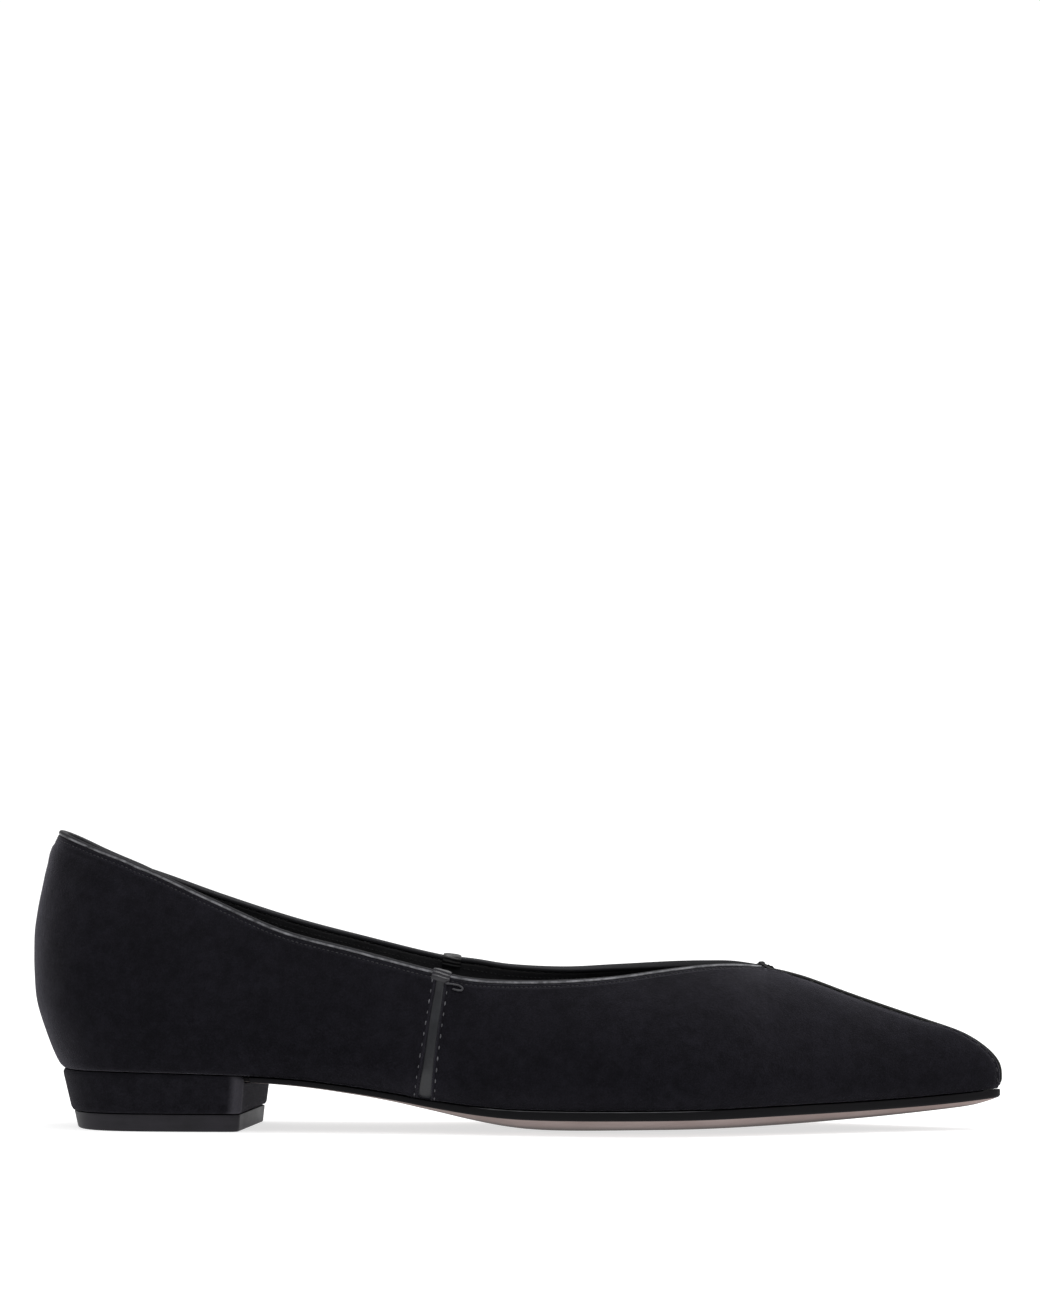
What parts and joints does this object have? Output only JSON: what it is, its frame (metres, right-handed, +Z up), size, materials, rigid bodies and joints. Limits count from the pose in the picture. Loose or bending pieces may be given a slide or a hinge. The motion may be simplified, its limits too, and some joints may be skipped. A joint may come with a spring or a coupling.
{
  "type": "pointed toe suede pump",
  "caption": "Right low-heeled pump with a pointed toe, a hollow suede upper, leather strips down both sides and the vamp, a thin leather sole and a block heel.",
  "frame": {"origin": "on the floor, under the middle of the shoe's box", "axes": "+X from the heel to the toe, +Y to the inner side of the foot, +Z up"},
  "size_m": [0.265, 0.076, 0.0812],
  "materials": {
    "suede": "black suede with a short soft nap",
    "heel_suede": "black suede drawn round a block heel",
    "strip_leather": "smooth dark grey leather with a soft sheen",
    "binding_leather": "smooth black leather, turned and polished at the edge",
    "lining_leather": "matt black lining leather",
    "sole_leather": "pale tan sole leather with a black painted edge",
    "heel_rubber": "smooth dark grey rubber"
  },
  "bodies": {
    "root": {"upper": "suede", "strip_lateral": "strip_leather", "strip_medial": "strip_leather", "strip_vamp": "strip_leather", "topline_binding": "binding_leather", "insole": "lining_leather", "outsole": "sole_leather", "heel_block": "heel_suede", "top_piece": "heel_rubber"}
  },
  "joints": []
}
